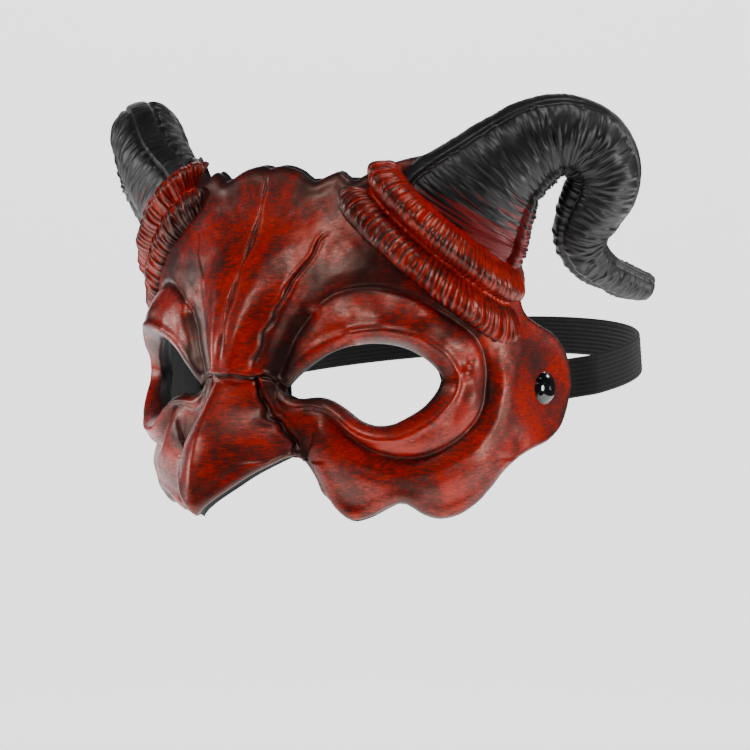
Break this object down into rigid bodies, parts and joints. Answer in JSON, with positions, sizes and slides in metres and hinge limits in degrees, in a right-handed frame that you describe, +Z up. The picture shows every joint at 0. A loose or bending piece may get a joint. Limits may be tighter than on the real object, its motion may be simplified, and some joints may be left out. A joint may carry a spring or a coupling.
{
  "type": "horned half mask",
  "caption": "Moulded half mask with a hooked beak, open eyes, scalloped edges, ribbed curled horns in wrinkled collars, snap rivets and an elastic head strap.",
  "frame": {"origin": "outer face of the shell at the nose bridge, on the centre line", "axes": "+X the wearer's left, +Y back along the head, +Z up the face"},
  "size_m": [0.2442, 0.2276, 0.1549],
  "materials": {
    "red_foam": "moulded foam, red over black antiquing, semi-gloss",
    "black_foam": "moulded foam, black, semi-gloss",
    "rivet_plastic": "glossy",
    "elastic": "ribbed knitted elastic"
  },
  "bodies": {
    "mask": {"mask_shell": "red_foam", "collar_left": "red_foam", "collar_right": "red_foam", "horn_left": "black_foam", "horn_right": "black_foam", "rivet_cap_left": "rivet_plastic", "rivet_cap_right": "rivet_plastic", "rivet_back_left": "rivet_plastic", "rivet_back_right": "rivet_plastic"},
    "strap": {"strap": "elastic"}
  },
  "joints": [
    {"name": "strap_swing", "type": "hinge", "parent": "mask", "child": "strap", "pos_m": [0, 0.08734, -0.0085], "axis": [1, 0, 0], "range_deg": [-47, 43]}
  ]
}
